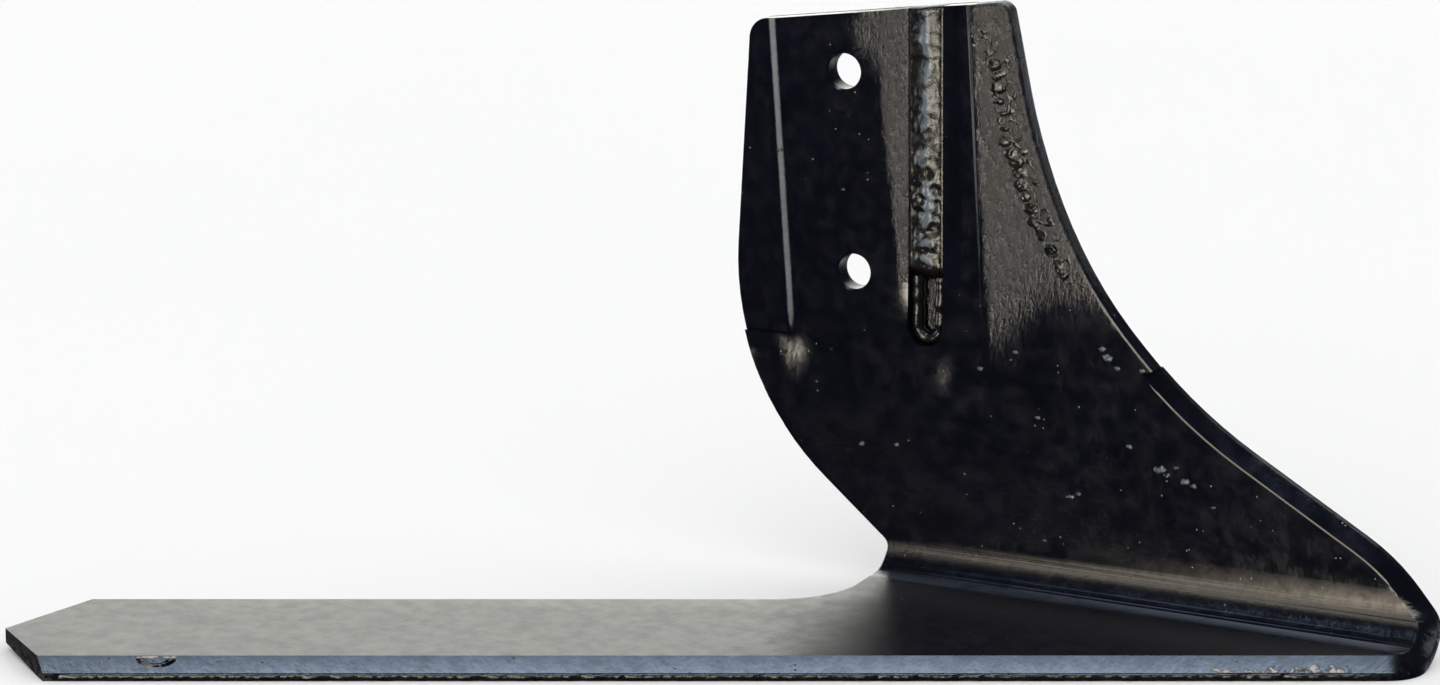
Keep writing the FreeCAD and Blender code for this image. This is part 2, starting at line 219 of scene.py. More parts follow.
@dataclass(frozen=True)
class BlackEnamel:
    """Thick gloss black paint over forged plate."""

    name: str = "gloss_black_enamel"
    tone: Triple = (0.0021, 0.0026, 0.0058)
    cloud: float = 1.45          # how much lighter the tone is in its clouds
    # painted cool reflection and painted warm highlight for the bend
    cool_reflection_colour: Triple = (0.09, 0.112, 0.15)
    warm_highlight_colour: Triple = (0.35, 0.305, 0.24)
    # grey of the dust nibs
    dust_and_warm_highlight: float = 0.03
    gloss: float = 0.16
    dull: float = 0.16           # added where the paint is matt
    streak: Triple = (1.0, 1.0, 0.45)    # stretch of the forge scale, as it was drawn
    waves: float = 0.0003        # heights in metres: of the waves in the plate
    peel: float = 0.00005        # of the orange peel
    scale: float = 0.0008        # of the forge scale under the paint
    nibs: float = 0.00008        # of the dust nibs

    def make(self) -> bpy.types.Material:
        """Build the material.

        Returns:
            Paint with orange peel, waves in the plate and dust nibs. Where a piece asks for
            them it has the grain of forge scale, a painted cool reflection and a painted warm
            highlight, duller paint, and arrises where the paint has worn thin.
        """
        material = bpy.data.materials.new(self.name)
        material.use_nodes = True
        kit = Nodes(material.node_tree)
        where = kit.add("TexCoord").outputs["Object"]
        drawn = kit.add("VectorMath", operation="MULTIPLY")
        kit.feed(drawn.inputs[0], where)
        drawn.inputs[1].default_value = self.streak
        fine = kit.noise(drawn.outputs["Vector"], 430.0, 4.0, 0.72)
        specks = kit.add("TexVoronoi")
        kit.feed(specks.inputs["Vector"], where)
        specks.inputs["Scale"].default_value = 260.0
        nib = kit.remap(specks.outputs["Distance"], 0.16, 0.05)
        nib = kit.maths("MULTIPLY", nib, kit.remap(kit.noise(where, 95.0, 2.0), 0.52, 0.64))
        shader = kit.add("BsdfPrincipled")
        kit.feed(shader.inputs["Base Color"], self.colour(kit, where, fine, nib))
        kit.feed(shader.inputs["Roughness"], self.roughness(kit, where, fine))
        kit.feed(shader.inputs["Normal"], self.relief(kit, where, fine, nib))
        out = kit.add("OutputMaterial")
        kit.feed(out.inputs["Surface"], shader.outputs[0])
        return material

    def colour(self, kit: Nodes, where: bpy.types.NodeSocket, fine: bpy.types.NodeSocket,
               nib: bpy.types.NodeSocket) -> bpy.types.NodeSocket:
        """Colour of the paint, with its nibs, worn arrises, forge scale, and the painted reflection
        and highlight along the bend.
        """
        cloud = kit.remap(kit.noise(where, 38.0, 4.0, 0.6), 0.35, 0.7)
        body = kit.mix(cloud, opaque(self.tone), opaque(self.tone, self.cloud))
        body = kit.mix(nib, body, grey(self.dust_and_warm_highlight, 0.08))
        scale = kit.maths("MULTIPLY", kit.value("grain"), kit.remap(fine, 0.5, 0.75))
        body = kit.mix(scale, body, grey(0.022, 0.22))
        cool = kit.remap(kit.noise(where, 60.0, 3.0, 0.6), 0.1, 0.5)
        # painted cool reflection along the lower part of the bend
        body = kit.mix(kit.maths("MULTIPLY", kit.value("painted_cool_reflection"), cool), body, opaque(self.cool_reflection_colour))
        warm = kit.remap(kit.noise(where, 260.0, 5.0, 0.7), 0.25, 0.65, 0.45, 1.0)
        # painted warm highlight along the upper part of the bend
        body = kit.mix(kit.maths("MULTIPLY", kit.value("dust_and_warm_highlight"), warm), body, opaque(self.warm_highlight_colour))
        worn = kit.remap(kit.noise(where, 240.0, 4.0, 0.7), 0.42, 0.6)
        return kit.mix(kit.maths("MULTIPLY", kit.value("wear"), worn), body, grey(0.07, 0.12))

    def roughness(self, kit: Nodes, where: bpy.types.NodeSocket,
                  fine: bpy.types.NodeSocket) -> bpy.types.NodeSocket:
        """Roughness, raised by forge scale and where the paint is matt."""
        smooth = kit.remap(kit.noise(where, 150.0, 5.0, 0.65), 0.3, 0.7, self.gloss * 0.75,
                           self.gloss * 1.35)
        scale = kit.maths("MULTIPLY", kit.value("grain"), kit.remap(fine, 0.35, 0.65, 0.05, 0.3))
        matt = kit.maths("MULTIPLY", kit.value("matt"), self.dull)
        return kit.maths("ADD", kit.maths("ADD", smooth, scale), matt)

    def relief(self, kit: Nodes, where: bpy.types.NodeSocket, fine: bpy.types.NodeSocket,
               nib: bpy.types.NodeSocket) -> bpy.types.NodeSocket:
        """Waves, orange peel, forge scale and nibs, one over the other."""
        waves = kit.bump(kit.noise(where, 22.0, 1.0), self.waves)
        peel = kit.bump(kit.noise(where, 520.0, 2.0), self.peel, waves)
        scale = kit.bump(kit.maths("MULTIPLY", kit.value("grain"), fine), self.scale, peel)
        return kit.bump(nib, self.nibs, scale)


@dataclass(frozen=True)
class WeldFinish:
    """Weld metal under or through the paint."""

    name: str
    dark: float
    light: float
    bare_and_highlight: float                  # share of the crests that turn pale: worn-through paint, and on the painted weld a painted highlight
    roughness: float
    relief: float                # height of the ripple texture in metres
    warmth: float = 0.07         # warm above zero, cool below

    def make(self) -> bpy.types.Material:
        """Build the material.

        Returns:
            Pitted, rippled metal, dark in its hollows and lighter on its crests; on the painted weld
            the pale bluish crests are a painted highlight.
        """
        material = bpy.data.materials.new(self.name)
        material.use_nodes = True
        kit = Nodes(material.node_tree)
        where = kit.add("TexCoord").outputs["Object"]
        crest = kit.value("crest")
        shader = kit.add("BsdfPrincipled")
        cloud = kit.noise(where, 260.0, 4.0, 0.65)
        # pale crests: worn paint, and on the painted weld a painted highlight
        bare_and_highlight = kit.remap(kit.maths("ADD", crest, kit.maths("MULTIPLY", cloud, 0.8)),
                         1.5 - self.bare_and_highlight, 1.75 - self.bare_and_highlight)
        coat = kit.mix(kit.remap(kit.noise(where, 90.0, 3.0), 0.35, 0.65), grey(self.dark, -0.1),
                       grey(self.dark * 2.0, 0.15))
        kit.feed(shader.inputs["Base Color"], kit.mix(bare_and_highlight, coat, grey(self.light, self.warmth)))
        kit.feed(shader.inputs["Roughness"],
                 kit.remap(cloud, 0.3, 0.75, self.roughness * 0.75, self.roughness * 1.6))
        ripple = kit.bump(kit.noise(where, 620.0, 3.0, 0.6), self.relief)
        pits = kit.bump(kit.noise(where, 1500.0, 2.0, 0.6), self.relief * 0.4, ripple)
        kit.feed(shader.inputs["Normal"], pits)
        out = kit.add("OutputMaterial")
        kit.feed(out.inputs["Surface"], shader.outputs[0])
        return material


@dataclass(frozen=True)
class PaleFloor:
    """Seamless pale studio floor."""

    name: str = "pale_floor"
    shade: float = 0.97

    def make(self) -> bpy.types.Material:
        """Build the material.

        Returns:
            A matt sheet with a very faint mottle.
        """
        material = bpy.data.materials.new(self.name)
        material.use_nodes = True
        kit = Nodes(material.node_tree)
        where = kit.add("TexCoord").outputs["Object"]
        shader = kit.add("BsdfPrincipled")
        mottle = kit.mix(kit.noise(where, 3.0, 2.0), grey(self.shade * 0.98), grey(self.shade))
        kit.feed(shader.inputs["Base Color"], mottle)
        shader.inputs["Roughness"].default_value = 0.9
        out = kit.add("OutputMaterial")
        kit.feed(out.inputs["Surface"], shader.outputs[0])
        return material


# ---------------------------------------------------------------- pieces


def paint_values(form: bmesh.types.BMesh, name: str, value: Callable[[Vector], float]) -> None:
    """Write a named value to every point of a mesh, for its finish to read."""
    layer = form.verts.layers.float.new(name)
    for point in form.verts:
        point[layer] = value(point.co)


def finish_piece(name: str, form: bmesh.types.BMesh, material: bpy.types.Material, slot: Slot,
                 sharp: float = 20.0) -> bpy.types.Object:
    """Turn a finished bmesh into a piece that rides on the part.

    Args:
        name: Name of the piece.
        form: Its mesh, in place; freed here.
        material: Its finish.
        slot: The record's slot for that finish; not used.
        sharp: Degrees beyond which an edge is drawn sharp.

    Returns:
        The new object, at the origin.
    """
    for face in form.faces:
        face.smooth = True
    for edge in form.edges:
        edge.smooth = len(edge.link_faces) == 2 and edge.calc_face_angle(0.0) < math.radians(sharp)
    mesh = bpy.data.meshes.new(name)
    form.to_mesh(mesh)
    form.free()
    if "custom_normal" in mesh.attributes:
        mesh.attributes.remove(mesh.attributes["custom_normal"])
    mesh.materials.clear()
    mesh.materials.append(material)
    piece = bpy.data.objects.new(name, mesh)
    bpy.context.scene.collection.objects.link(piece)
    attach(piece, "root")
    LOG.info("%s: %d faces", name, len(mesh.polygons))
    return piece


def clean_copy(node: str) -> bmesh.types.BMesh:
    """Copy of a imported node's mesh, merged, with its flat faces made whole again."""
    form = bmesh.new()
    form.from_mesh(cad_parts[node].data)
    bmesh.ops.remove_doubles(form, verts=form.verts, dist=4e-6)
    bmesh.ops.dissolve_limit(form, angle_limit=math.radians(0.25), use_dissolve_boundaries=False,
                             verts=form.verts, edges=form.edges)
    return form


def cut_by(form: bmesh.types.BMesh, place: Vector, normal: Vector,
           chosen: Callable[[Vector], bool]) -> None:
    """Score every face whose middle passes a test along a plane."""
    faces = [face for face in form.faces if chosen(face.calc_center_median())]
    edges = list({edge for face in faces for edge in face.edges})
    points = list({point for face in faces for point in face.verts})
    bmesh.ops.bisect_plane(form, geom=points + edges + faces, dist=1e-6, plane_co=place,
                           plane_no=normal)


@dataclass
class HeadRelief:
    """Shape that the press and the weld gave the head of the leg, in millimetres."""

    slot_x: float = 13.8
    slot_low: float = 101.2
    slot_half: float = 7.2
    draw: float = 1.1            # how deep the slot weld draws its edges in
    turn: float = 4.2            # how far the shin is laid back in front of the pad
    turn_run: float = 20.0       # how quickly it reaches that
    edge: list[tuple[float, float]] = field(default_factory=list)   # leading edge, from the plate

    def edge_x(self, z: float) -> float:
        """Where the leading edge stands at a height."""
        below = [row for row in self.edge if row[0] <= z][-1:] or self.edge[:1]
        above = [row for row in self.edge if row[0] > z][:1] or self.edge[-1:]
        (low, low_x), (high, high_x) = below[0], above[0]
        share = (z - low) / (high - low) if high > low else 0.0
        return low_x + (high_x - low_x) * share

    def crease(self, z: float) -> float:
        """Where the front wall of the pad stands at a height."""
        return 28.8 + (232.0 - z) * 9.2 / 140.0 + 2.4

    def flange(self, x: float, z: float) -> float:
        """How far a spot stands in front of the soft crease along the rear flange."""
        return x + 52.8 - (232.0 - z) * 11.0 / 146.0

    def slot_middle(self, z: float) -> float:
        """Centre line of the slot at a height."""
        return self.slot_x - (z - self.slot_low) * math.tan(math.radians(0.6))

    def valley(self, z: float) -> float:
        """How far the valley beside the slot weld reaches from the slot."""
        return 4.0 + 7.5 * soft_step(z, 118.0, 196.0)

    def lag(self, ahead: float) -> float:
        """How much higher the shin's turn starts, at a distance in front of the pad."""
        return min(0.9 * ahead, 24.0)

    def drawn(self, x: float, z: float) -> float:
        """Depth of the valley that runs down beside the slot weld."""
        side = x - self.slot_middle(z)
        left = soft_step(side, -self.slot_half - self.valley(z), -self.slot_half + 2.0)
        right = soft_step(side, self.slot_half + 7.0, self.slot_half - 2.0)
        return self.draw * left * right * soft_step(z, 96.0, 124.0)

    def turned(self, x: float, z: float) -> float:
        """Depth by which the shin falls back in front of the pad."""
        ahead = max(x - self.crease(z), 0.0)
        fall = self.turn * (1.0 - math.exp(-ahead / self.turn_run))
        lag = self.lag(ahead)
        return fall * soft_step(z, 88.0 + lag, 160.0 + lag)

    def dented(self, x: float, z: float) -> float:
        """Depth of the marks that the press left below the ends of the two steps."""
        depth = 0.0
        for mark_x, mark_z, reach, deep in ((-32.0, 87.0, 17.0, 1.5), (27.0, 84.0, 9.0, 0.6)):
            away = math.hypot(x - mark_x, z - mark_z) / reach
            depth += deep * soft_step(away, 1.0, 0.0)
        return depth

    def front(self, x: float, z: float) -> float:
        """Depth that the work adds to the outer face."""
        return self.drawn(x, z) + self.turned(x, z) + self.dented(x, z)

    def grain(self, x: float, z: float) -> float:
        """How much forge scale shows through the paint, from 0 to 1."""
        side = x - self.slot_middle(z)
        start = -self.slot_half - self.valley(z)
        band = soft_step(side, start - 2.0, start + 3.0)
        band *= soft_step(side, -self.slot_half + 1.0, -self.slot_half - 0.5)
        band *= soft_step(z, 114.0, 124.0)
        ahead = x - self.crease(z)
        lag = self.lag(max(ahead, 0.0))
        shin = soft_step(ahead, -0.5, 2.5) * soft_step(z, 80.0 + lag, 124.0 + lag)
        ragged = 9.0 * wander(x, z, 9.0, 71.0)
        cloud = soft_step(z + ragged, 188.0, 212.0) * soft_step(x + ragged, -26.0, -6.0)
        cloud *= soft_step(x, 7.0, 5.0)
        bend = soft_step(z, 24.0, 19.0) * 0.08
        return min(max(band, shin, 0.6 * cloud, bend), 1.0)


@dataclass
class FormedPlate:
    """Leg, bend and blade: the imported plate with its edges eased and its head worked."""

    enamel: bpy.types.Material
    relief: HeadRelief
    ease: float = 0.38           # round on every arris
    shoulder: float = 0.8        # round on the shoulder of the leading edge
    sharp: float = 38.0          # degrees beyond which an edge is an arris
    blunt: float = 52.0          # degrees below which it can be a shoulder
    sweep: float = 17.5          # inside radius of the finished sweep between leg and blade
    bend_step: float = 3.0       # degrees between the scores round the bend
    grid: float = 2.4            # spacing of the scores on the head of the leg
    coarse: float = 6.0          # spacing of the scores on the foot of the leg
    head_low: float = 66.0

    def build(self) -> bpy.types.Object:
        """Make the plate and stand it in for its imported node.

        Returns:
            The finished piece.
        """
        form = clean_copy("knife_plate")
        self.ease_arrises(form)
        self.form_bend(form)
        self.score_leg(form)
        self.score_blade(form)
        self.work_head(form)
        self.relief.edge = self.leading_edge(form)
        # the third and fourth values paint a cool reflection and a warm highlight on the bend
        for name, value in (("grain", self.grain), ("wear", self.wear), ("painted_cool_reflection", self.painted_cool_reflection),
                            ("dust_and_warm_highlight", self.dust_and_warm_highlight), ("matt", self.matt)):
            paint_values(form, name, value)
        piece = finish_piece("formed_plate", form, self.enamel, Slot.ENAMEL)
        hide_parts("knife_plate")
        return piece

    def ease_arrises(self, form: bmesh.types.BMesh) -> None:
        """Round every sharp edge a little, as thick paint does."""
        self.round_off(form, self.shoulder, self.blunt, self.on_shoulder)
        self.round_off(form, self.ease, 180.0, lambda edge: True)

    def round_off(self, form: bmesh.types.BMesh, offset: float, limit: float,
                  chosen: Callable[[bmesh.types.BMEdge], bool]) -> None:
        """Round the chosen arrises whose angle is under a limit in degrees."""
        arrises = [edge for edge in form.edges if len(edge.link_faces) == 2
                   and math.radians(self.sharp) < edge.calc_face_angle(0.0) < math.radians(limit)
                   and chosen(edge)]
        bmesh.ops.bevel(form, geom=arrises, offset=offset * MM, offset_type="OFFSET", segments=1,
                        profile=0.5, affect="EDGES", material=-1, clamp_overlap=True)

    def on_shoulder(self, edge: bmesh.types.BMEdge) -> bool:
        """Whether an edge lies along the front shoulder of the leading edge."""
        rows = [on_leg(point.co) for point in edge.verts]
        return all(abs(depth) < 0.3 and x > 60.0 and z > 26.0 for x, z, depth in rows)

    def form_bend(self, form: bmesh.types.BMesh) -> None:
        """Divide the bend finely, fill its corner to a full sweep and true its outside."""
        axis = spot(0.0, PLATE + BEND_RADIUS, -BEND_RADIUS)
        sweep = spot(0.0, PLATE + self.sweep, -self.sweep)
        for i in range(0, int(90.0 / self.bend_step) + 1):
            turn = math.radians(i * self.bend_step)
            across = Vector((0.0, -math.sin(turn), -math.cos(turn)))
            cut_by(form, sweep, across, lambda middle: middle.y > sweep.y and middle.z < sweep.z)
        for point in form.verts:
            _, z, depth = on_leg(point.co)
            out = Vector((0.0, depth + BEND_RADIUS, z - PLATE - BEND_RADIUS))
            if out.y > 0.0 and out.z < 0.0 and abs(out.length - BEND_RADIUS - PLATE) < 0.25:
                place = axis + out.normalized() * (BEND_RADIUS + PLATE) * MM
                point.co.y, point.co.z = place.y, place.z
            if depth <= -self.sweep or z >= PLATE + self.sweep:
                continue
            if out.y > 0.0 and out.z < 0.0:
                within = out.length - BEND_RADIUS
            else:
                within = depth if z >= PLATE + BEND_RADIUS else PLATE - z
            ray = Vector((0.0, depth + self.sweep, z - PLATE - self.sweep))
            place = sweep + ray.normalized() * (self.sweep + within) * MM
            share = soft_step(within, PLATE, 1.0)
            point.co.y += (place.y - point.co.y) * share
            point.co.z += (place.z - point.co.z) * share

    def score_leg(self, form: bmesh.types.BMesh) -> None:
        """Divide the leg into a grid, finer on its head."""
        up, ahead = Vector((0.0, 0.0, 1.0)), Vector((1.0, 0.0, 0.0))
        foot, head = spot(0.0, PLATE + BEND_RADIUS).z, spot(0.0, self.head_low).z
        slot_side = spot(-30.0, 0.0).x
        rows = [PLATE + self.sweep + 0.6]
        while rows[-1] < 232.0:
            rows.append(rows[-1] + (self.coarse if rows[-1] < self.head_low - 4.0 else self.grid))
        for z in rows:
            cut_by(form, spot(0.0, z), up, lambda middle: middle.z > foot)
        for i in range(int(290.0 / self.coarse)):
            cut_by(form, spot(-70.0 + i * self.coarse, 0.0), ahead,
                   lambda middle: foot < middle.z < head)
        for i in range(int(206.0 / self.grid)):
            cut_by(form, spot(-88.0 + i * self.grid, 0.0), ahead, lambda middle: middle.z > head)
        lean = Vector((1.0, 0.0, 11.0 / 146.0))
        for i in range(9):
            cut_by(form, spot(-52.8 + (i - 4) * 0.7, 232.0), lean,
                   lambda middle: middle.z > head and middle.x < slot_side)

    def score_blade(self, form: bmesh.types.BMesh) -> None:
        """Divide the blade, closely beside the bend and coarsely along its length."""
        beside = spot(0.0, 0.0, -BEND_RADIUS).y
        for gap in (0.8, 3.0):
            cut_by(form, spot(0.0, 0.0, -self.sweep - gap), Vector((0.0, 1.0, 0.0)),
                   lambda middle: middle.y < beside)
        across = along_edge(0.0, 1.0, 0.0) - along_edge(0.0, 0.0, 0.0)
        for side in (8.0, 24.0, 40.0, 56.0, 72.0):
            cut_by(form, along_edge(0.0, side, 0.0), across, lambda middle: middle.y < beside)
        ahead = along_edge(0.0, 0.0, 0.0) - along_edge(1.0, 0.0, 0.0)
        for i in range(1, 33):
            cut_by(form, along_edge(i * 16.0, 0.0, 0.0), ahead, lambda middle: middle.y < beside)

    def work_head(self, form: bmesh.types.BMesh) -> None:
        """Soften the pressed steps, draw the slot in and lay the shin back."""
        low, end = spot(0.0, self.head_low - 8.0).z, spot(0.0, 100.0).z
        clear = spot(58.0, 0.0).x

        def gentle(limit: float) -> list[bmesh.types.BMVert]:
            """Points at the foot of the head with no edge sharper than so many degrees."""
            near = [point for point in form.verts if low < point.co.z < end and point.co.x < clear]
            return [point for point in near if all(edge.calc_face_angle(4.0) < math.radians(limit)
                                                   for edge in point.link_edges)]

        upper = [point for point in form.verts if point.co.z > low]
        bmesh.ops.remove_doubles(form, verts=upper, dist=0.15 * MM)
        bmesh.ops.remove_doubles(form, verts=gentle(14.0), dist=0.6 * MM)
        foot = gentle(36.0)
        for _ in range(9):
            bmesh.ops.smooth_vert(form, verts=foot, factor=0.5, use_axis_y=True)
        for point in form.verts:
            x, z, depth = on_leg(point.co)
            if z < self.head_low:
                continue
            side = self.relief.flange(x, z)
            if abs(side) < 3.2 and 1.0 < depth < 4.5 and z > 90.0:
                step = 1.6 + 1.6 * soft_step(side, 2.8, -2.8)
                point.co.y += (step - depth) * soft_step(z, 90.0, 96.0) * MM
            outside = 1.0 - min(max((depth - 3.5) / (PLATE - 3.5), 0.0), 1.0)
            hollow = self.relief.drawn(x, z) + self.relief.dented(x, z)
            point.co.y += (hollow * outside + self.relief.turned(x, z)) * MM

    def leading_edge(self, form: bmesh.types.BMesh) -> list[tuple[float, float]]:
        """Height and reach of the leading edge, from its foot to its top, in millimetres."""
        reach: dict[int, float] = {}
        for point in form.verts:
            x, z, _ = on_leg(point.co)
            if z > 90.0:
                row = round(z / self.grid)
                reach[row] = max(reach.get(row, x), x)
        return [(row * self.grid, reach[row]) for row in sorted(reach)]

    def grain(self, place: Vector) -> float:
        """Forge scale at a point of the plate."""
        x, z, depth = on_leg(place)
        if depth > PLATE + 0.5:
            return 0.35
        return self.relief.grain(x, z) if depth > -BEND_RADIUS else 0.0

    def painted_cool_reflection(self, place: Vector) -> float:
        """Painted cool reflection: a pale blue band along the lower part of the bend."""
        x, z, depth = on_leg(place)
        if depth < -self.sweep - 4.0 or z > PLATE + self.sweep or z < PLATE - 1.0 or depth > 0.0:
            return 0.0
        away = abs(self.turn_at(z, depth) - (84.0 - 0.1 * (x - 30.0)))
        along = (0.6 + 0.4 * soft_step(x, 40.0, 200.0)) * soft_step(x, 214.0, 204.0)
        return soft_step(away, 20.0, 0.0) * along

    def dust_and_warm_highlight(self, place: Vector) -> float:
        """Painted warm highlight along the upper part of the bend, stronger toward the toe."""
        x, z, depth = on_leg(place)
        if depth < -self.sweep or z > PLATE + self.sweep + 1.0 or z < PLATE - 1.0 or depth > 0.1:
            return 0.0
        away = abs(self.turn_at(z, depth) - (34.0 - 0.09 * (x - 30.0)))
        along = (0.16 + 0.84 * soft_step(x, 20.0, 206.0)) * soft_step(x, 215.0, 207.0)
        return soft_step(away, 13.5, 0.0) * along

    def matt(self, place: Vector) -> float:
        """Duller paint on the top of the blade."""
        _, z, depth = on_leg(place)
        beside = soft_step(depth, -self.sweep + 1.0, -self.sweep - 4.0)
        return beside * soft_step(z, PLATE - 1.0, PLATE - 0.2)

    def turn_at(self, z: float, depth: float) -> float:
        """Degrees round the sweep, from the leg down to the blade."""
        return math.degrees(math.atan2(PLATE + self.sweep - z, depth + self.sweep))

    def wear(self, place: Vector) -> float:
        """Thin paint along the cutting edge."""
        _, z, depth = on_leg(place)
        return soft_step(z, PLATE - 2.0, 0.5) * soft_step(depth, -20.0, -30.0) * 0.8


def skin(columns: int, rows: int, place: Callable[[float, float], tuple[Vector, float]],
         drop: Vector, keep: float = -0.25, seam: bool = False) -> bmesh.types.BMesh:
    """Irregular metal laid on a surface: a grid of points, each lifted to its own height.

    Args:
        columns: Points across.
        rows: Points along.
        place: Gives a grid point's place and its height in millimetres, from shares of 0 to 1.
        drop: How the rim is carried down into the surface to close the shape.
        keep: Points lower than this are buried, and left out.
        seam: Whether the first and last columns meet.

    Returns:
        A closed mesh with each point's height in the value "crest".
    """
    form = bmesh.new()
    bmesh.ops.create_grid(form, x_segments=columns, y_segments=rows, size=0.5)
    crest = form.verts.layers.float.new("crest")
    for point in form.verts:
        point.co, point[crest] = place(point.co.x + 0.5, point.co.y + 0.5)
    buried = [face for face in form.faces if all(point[crest] < keep for point in face.verts)]
    bmesh.ops.delete(form, geom=buried, context="FACES")
    if seam:
        bmesh.ops.remove_doubles(form, verts=form.verts, dist=1e-6)
        bmesh.ops.holes_fill(form, edges=[edge for edge in form.edges if edge.is_boundary])
    else:
        grown = bmesh.ops.extrude_face_region(form, geom=form.faces[:])["geom"]
        for part in grown:
            if isinstance(part, bmesh.types.BMVert):
                part.co += drop
    bmesh.ops.recalc_face_normals(form, faces=form.faces)
    return form


@dataclass
class SlotWeld:
    """Weld in the slot of the head, and the pocket left open below it."""

    finish: bpy.types.Material
    relief: HeadRelief
    low: float = 118.5
    pad: float = 1.6             # depth of the pad behind the outer face
    crown: float = 0.9

    def build(self) -> bpy.types.Object:
        """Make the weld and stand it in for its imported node."""
        form = skin(22, 170, self.surface, Vector((0.0, 5.0 * MM, 0.0)), keep=-20.0)
        ring = skin(14, 90, self.pocket_ring, Vector(), keep=-20.0, seam=True)
        mesh = bpy.data.meshes.new("pocket_ring")
        ring.to_mesh(mesh)
        ring.free()
        form.from_mesh(mesh)
        bpy.data.meshes.remove(mesh)
        piece = finish_piece("slot_bead", form, self.finish, Slot.WELD, 60.0)
        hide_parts("slot_weld")
        return piece

    def height(self, side: float, z: float) -> float:
        """Height of the bead above the pad at a share of the slot's width, in millimetres."""
        x = side * self.relief.slot_half
        phase = z + 1.6 * side * side + 4.5 * wander(x, z, 15.0, 3.0)
        ripple = math.sin(phase * 2.0 * math.pi / 6.3)
        lumps = wander(x, z, 4.6, 5.0) * 0.75 + wander(x, z, 2.1, 8.0) * 0.3
        ridge = 0.8 * soft_step(abs(side - 0.45 * wander(0.0, z, 13.0, 2.0)), 0.55, 0.0)
        ridge *= 0.55 + 0.9 * wander(1.0, z, 12.0, 19.0)
        calm = 1.0 - 0.6 * soft_step(z, 156.0, 174.0)
        bead = soft_step(abs(side + 0.16 * wander(0.0, z, 6.0, 13.0)), 0.82, 0.58)
        rise = self.crown * (1.0 - side * side) + 0.24 * ripple * calm + lumps * calm + ridge - 0.4
        return rise * bead - 0.12 - 0.5 * soft_step(abs(side), 0.9, 1.0)

    def surface(self, across: float, along: float) -> tuple[Vector, float]:
        """Point of the bead."""
        side = 2.0 * across - 1.0
        x = self.relief.slot_middle(self.low) + side * (self.relief.slot_half + 0.15)
        top = 211.8 + (x + 60.8) * 0.1429 - 0.1
        z = self.low + (top - self.low) * along
        x = self.relief.slot_middle(z) + side * (self.relief.slot_half + 0.15)
        rise = self.height(side, z)
        rise -= 6.5 * soft_step(z, self.low + 6.0, self.low - 1.0)
        end = min(max((z - top + 1.8) / 1.8, 0.0), 1.0)
        rise -= 1.6 * (1.0 - math.sqrt(1.0 - end * end))
        depth = self.pad + self.relief.front(x, z) - rise
        return spot(x, z, depth), rise

    def pocket_ring(self, across: float, along: float) -> tuple[Vector, float]:
        """Point of the fillet that runs round the foot of the pocket."""
        straight, reach = 19.0, self.relief.slot_half - 2.3
        bend = math.pi * reach
        run = along * (2.0 * straight + bend)
        if run < straight:
            x, z, out = -reach, straight - run, Vector((-1.0, 0.0, 0.0))
        elif run > straight + bend:
            x, z, out = reach, run - straight - bend, Vector((1.0, 0.0, 0.0))
        else:
            turn = (run - straight) / reach
            x, z = -reach * math.cos(turn), -reach * math.sin(turn)
            out = Vector((-math.cos(turn), 0.0, -math.sin(turn)))
        round_it = across * 2.0 * math.pi
        radius = 2.4 + 0.6 * wander(x, z, 3.5, 11.0)
        middle = spot(self.relief.slot_middle(self.relief.slot_low) + x, self.relief.slot_low + z, 6.6)
        swing = out * math.cos(round_it) + Vector((0.0, math.sin(round_it) * 1.3, 0.0))
        return middle + swing * radius * MM, 0.3


@dataclass
class ShinHardfacing:
    """Rough run of hard weld beside the leading edge, painted over."""

    finish: bpy.types.Material
    relief: HeadRelief
    low: float = 116.0
    high: float = 219.0
    inset: float = 11.0          # from the leading edge to the chain of lumps
    width: float = 21.0

    def __post_init__(self) -> None:
        self.lumps: list[tuple[float, float, float, float]] = []
        z = 128.0
        step = 0
        while z < 204.0:
            swing = 3.4 * wander(7.0, z, 11.0, 21.0)
            tall = 0.62 + 0.7 * wander(3.0, z, 6.0, 24.0)
            wide = 2.3 + 1.5 * wander(5.0, z, 7.0, 29.0)
            chain = self.relief.edge_x(z) - self.inset
            self.lumps.append((chain + swing, z, wide, tall))
            if step % 3 == 1:
                self.lumps.append((chain + 5.0 - swing, z + 1.3, 1.7, 0.5 * tall))
            z += 4.6 + 3.0 * wander(9.0, z, 5.0, 27.0)
            step += 1

    def build(self) -> bpy.types.Object:
        """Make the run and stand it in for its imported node."""
        form = skin(58, 240, self.surface, Vector((0.0, 0.9 * MM, 0.0)), keep=-0.12)
        piece = finish_piece("shin_run", form, self.finish, Slot.HARD, 60.0)
        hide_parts("shin_hardfacing")
        return piece

    def surface(self, across: float, along: float) -> tuple[Vector, float]:
        """Point of the run."""
        z = self.low + (self.high - self.low) * along
        inset = self.inset + 8.0 - across * self.width * 0.82
        x = self.relief.edge_x(z) - inset
        rise = 0.0
        for lump_x, lump_z, reach, tall in self.lumps:
            if abs(z - lump_z) < reach * 1.3:
                away = math.hypot((x - lump_x) * 0.9, (z - lump_z) * 1.15) / reach
                rise = max(rise, tall * math.sqrt(max(1.0 - away * away, 0.0)))
        crack = abs(wander(x + 1.5 * wander(x, z, 5.0, 31.0), z, 5.2, 33.0))
        rise += 0.42 * soft_step(crack, 0.16, 0.0) * soft_step(inset, self.inset + 3.5, self.inset)
        rise += 0.16 * wander(x, z, 2.4, 35.0)
        rim = soft_step(across, 0.0, 0.16) * soft_step(across, 1.0, 0.86)
        rim *= soft_step(along, 0.0, 0.07) * soft_step(along, 1.0, 0.96)
        rise = rise * rim - 0.5 * (1.0 - rim) - 0.14
        return spot(x, z, self.relief.front(x, z) - rise), rise


